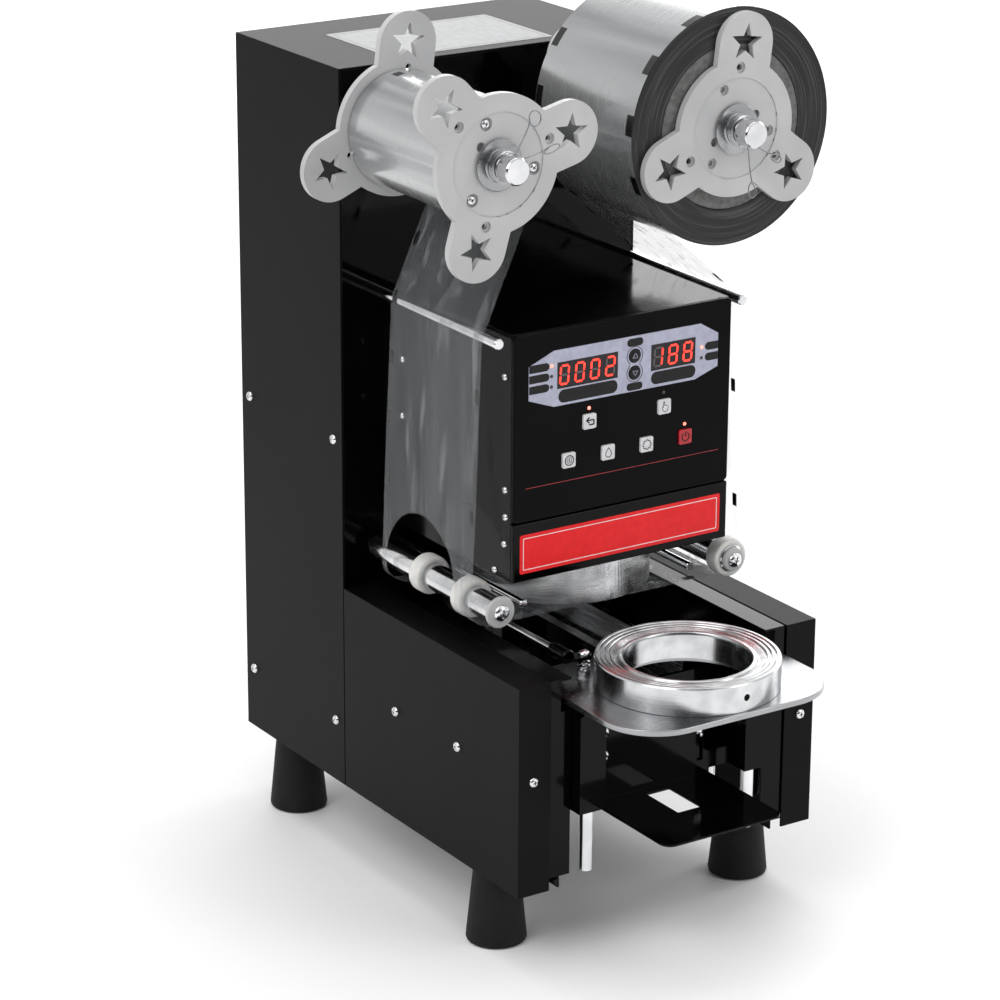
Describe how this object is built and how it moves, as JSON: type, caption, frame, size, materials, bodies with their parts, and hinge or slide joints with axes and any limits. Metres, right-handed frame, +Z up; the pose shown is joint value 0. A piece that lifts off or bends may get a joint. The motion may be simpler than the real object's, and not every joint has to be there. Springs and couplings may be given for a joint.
{
  "type": "automatic cup sealing machine",
  "caption": "Desktop machine that seals film onto a drink cup: a tower with two film reels, a heated die in a head with a key panel, and a sliding cup drawer.",
  "frame": {"origin": "on the floor, under the middle of the whole machine's bounding box; X is zero at the body's middle plane to within 4 mm of the box's middle", "axes": "+X to the right seen from the front, +Y to the back, +Z up; the front faces -Y"},
  "size_m": [0.3394, 0.4457, 0.61],
  "materials": {
    "aluminium": "satin",
    "black_plastic": "satin",
    "black_rubber": "matte",
    "black_sheet": "satin",
    "chrome": "polished",
    "circuit_board": "satin",
    "clear_film": "gloss",
    "display_lens": "satin",
    "drive_belt": "matte",
    "gloss_black": "gloss",
    "grey_abs": "satin",
    "key_grey": "satin",
    "key_red": "satin",
    "motor_zinc": "cast",
    "stainless": "brushed",
    "white_rubber": "satin",
    "wound_film": "gloss"
  },
  "bodies": {
    "frame": {"tower_cover": "black_sheet", "tower_front_panel": "gloss_black", "tower_back_panel": "black_sheet", "chassis": "black_sheet", "base_cover_left": "black_sheet", "base_cover_right": "black_sheet", "rubber_feet": "black_rubber", "cover_screws": "chrome", "head_shell": "gloss_black", "control_panel": "gloss_black", "front_strip": "gloss_black", "display_window": "display_lens", "control_board": "circuit_board", "die_ring": "chrome", "cutter_ring": "stainless", "heater_plate": "aluminium", "film_rods": "chrome", "roller_axles": "chrome", "supply_shaft": "chrome", "supply_clip": "chrome", "slide_rails": "stainless", "drive_belt": "drive_belt", "drawer_motor": "motor_zinc", "lift_motor": "motor_zinc", "take_up_motor": "motor_zinc", "power_inlet": "black_plastic", "film_web": "clear_film"},
    "take_up_reel": {"take_up_shaft": "chrome", "take_up_front_plate": "grey_abs", "take_up_rear_plate": "grey_abs", "take_up_clip": "chrome", "wound_film": "wound_film"},
    "supply_reel": {"supply_front_plate": "grey_abs", "supply_rear_plate": "grey_abs", "supply_film": "wound_film"},
    "left_roller": {"roller_left": "chrome", "roller_left_grips": "white_rubber"},
    "right_roller": {"roller_right": "chrome", "roller_right_grips": "white_rubber"},
    "drawer": {"drawer_carriage": "black_sheet", "cup_shelf": "black_sheet", "shelf_screws": "chrome", "belt_clamp": "black_sheet"},
    "tray": {"tray_plate": "stainless", "cup_ring": "chrome", "guide_columns": "chrome", "link_stud": "chrome", "link_rod": "chrome"},
    "lifter": {"lift_yoke": "stainless"},
    "drive_pulley": {"drive_pulley": "aluminium"},
    "idler_pulley": {"idler_pulley": "aluminium"},
    "rocker_switch": {"rocker_switch": "black_plastic"},
    "up_button": {"up_button": "black_plastic"},
    "down_button": {"down_button": "black_plastic"},
    "return_key": {"return_key": "key_grey"},
    "hand_key": {"hand_key": "key_grey"},
    "count_key": {"count_key": "key_grey"},
    "drop_key": {"drop_key": "key_grey"},
    "set_key": {"set_key": "key_grey"},
    "power_key": {"power_key": "key_red"}
  },
  "joints": [
    {"name": "supply_reel_spin", "type": "hinge", "parent": "frame", "child": "supply_reel", "pos_m": [0.0932, 0, 0.53], "axis": [0, 1, 0], "continuous": true},
    {"name": "take_up_reel_spin", "type": "hinge", "parent": "frame", "child": "take_up_reel", "pos_m": [-0.0932, 0, 0.53], "axis": [0, 1, 0], "continuous": true},
    {"name": "left_roller_spin", "type": "hinge", "parent": "frame", "child": "left_roller", "pos_m": [-0.095, 0, 0.2305], "axis": [0, 1, 0], "continuous": true},
    {"name": "right_roller_spin", "type": "hinge", "parent": "frame", "child": "right_roller", "pos_m": [0.095, 0, 0.2305], "axis": [0, 1, 0], "continuous": true},
    {"name": "drawer_slide", "type": "slide", "parent": "frame", "child": "drawer", "axis": [0, 1, 0], "range_m": [0, 0.153]},
    {"name": "tray_lift", "type": "slide", "parent": "drawer", "child": "tray", "axis": [0, 0, 1], "range_m": [0, 0.008]},
    {"name": "lifter_rise", "type": "slide", "parent": "frame", "child": "lifter", "axis": [0, 0, 1], "range_m": [0, 0.008]},
    {"name": "drive_pulley_spin", "type": "hinge", "parent": "frame", "child": "drive_pulley", "pos_m": [-0.081, 0.19, 0.171], "axis": [1, 0, 0], "range_deg": [-1110.6, 0]},
    {"name": "idler_pulley_spin", "type": "hinge", "parent": "frame", "child": "idler_pulley", "pos_m": [-0.081, -0.028, 0.171], "axis": [1, 0, 0], "range_deg": [-1110.6, 0]},
    {"name": "rocker_tilt", "type": "hinge", "parent": "frame", "child": "rocker_switch", "pos_m": [0.091, 0.2155, 0.118], "axis": [1, 0, 0], "range_deg": [0, 10]},
    {"name": "up_button_press", "type": "slide", "parent": "frame", "child": "up_button", "axis": [0, 1, 0], "range_m": [0, 0.0006], "stiffness_N_per_m": 400},
    {"name": "down_button_press", "type": "slide", "parent": "frame", "child": "down_button", "axis": [0, 1, 0], "range_m": [0, 0.0006], "stiffness_N_per_m": 400},
    {"name": "return_key_press", "type": "slide", "parent": "frame", "child": "return_key", "axis": [0, 1, 0], "range_m": [0, 0.0006], "stiffness_N_per_m": 400},
    {"name": "hand_key_press", "type": "slide", "parent": "frame", "child": "hand_key", "axis": [0, 1, 0], "range_m": [0, 0.0006], "stiffness_N_per_m": 400},
    {"name": "count_key_press", "type": "slide", "parent": "frame", "child": "count_key", "axis": [0, 1, 0], "range_m": [0, 0.0006], "stiffness_N_per_m": 400},
    {"name": "drop_key_press", "type": "slide", "parent": "frame", "child": "drop_key", "axis": [0, 1, 0], "range_m": [0, 0.0006], "stiffness_N_per_m": 400},
    {"name": "set_key_press", "type": "slide", "parent": "frame", "child": "set_key", "axis": [0, 1, 0], "range_m": [0, 0.0006], "stiffness_N_per_m": 400},
    {"name": "power_key_press", "type": "slide", "parent": "frame", "child": "power_key", "axis": [0, 1, 0], "range_m": [0, 0.0006], "stiffness_N_per_m": 400}
  ],
  "couplings": [
    {"joint": "take_up_reel_spin", "follows": "supply_reel_spin", "ratio": 2.0253},
    {"joint": "left_roller_spin", "follows": "supply_reel_spin", "ratio": -5.9259},
    {"joint": "right_roller_spin", "follows": "supply_reel_spin", "ratio": -5.9259},
    {"joint": "drive_pulley_spin", "follows": "drawer_slide", "rad_per_m": -126.58},
    {"joint": "idler_pulley_spin", "follows": "drawer_slide", "rad_per_m": -126.58},
    {"joint": "lifter_rise", "follows": "tray_lift", "ratio": 1}
  ]
}
